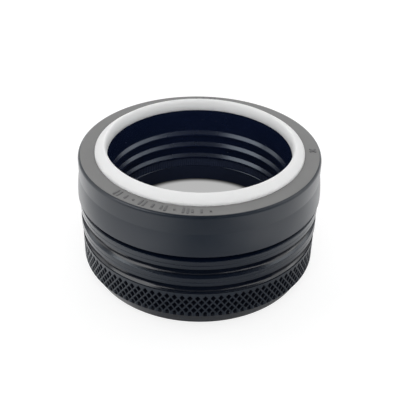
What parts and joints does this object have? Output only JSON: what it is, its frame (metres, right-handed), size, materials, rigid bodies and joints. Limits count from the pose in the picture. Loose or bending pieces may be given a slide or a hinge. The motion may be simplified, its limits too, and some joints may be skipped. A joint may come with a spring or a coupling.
{
  "type": "combination oil seal",
  "caption": "Stacked rod seal for a hydraulic gland: knurled header ring, grooved vee rings, tall support ring and a white anti-extrusion ring.",
  "frame": {"origin": "centre of the flat bottom face of the header ring, on the bore axis", "axes": "+Z along the bore axis, from the header ring up to the anti-extrusion ring, so the lips point to -Z"},
  "size_m": [0.0668, 0.0668, 0.0376],
  "materials": {
    "white_plastic": "smooth, slightly waxy white",
    "black_rubber": "satin black, glossier in the grooves"
  },
  "bodies": {
    "root": {"anti_extrusion_ring": "white_plastic", "support_ring": "black_rubber", "upper_vee_ring": "black_rubber", "lower_vee_ring": "black_rubber", "header_ring": "black_rubber"}
  },
  "joints": []
}
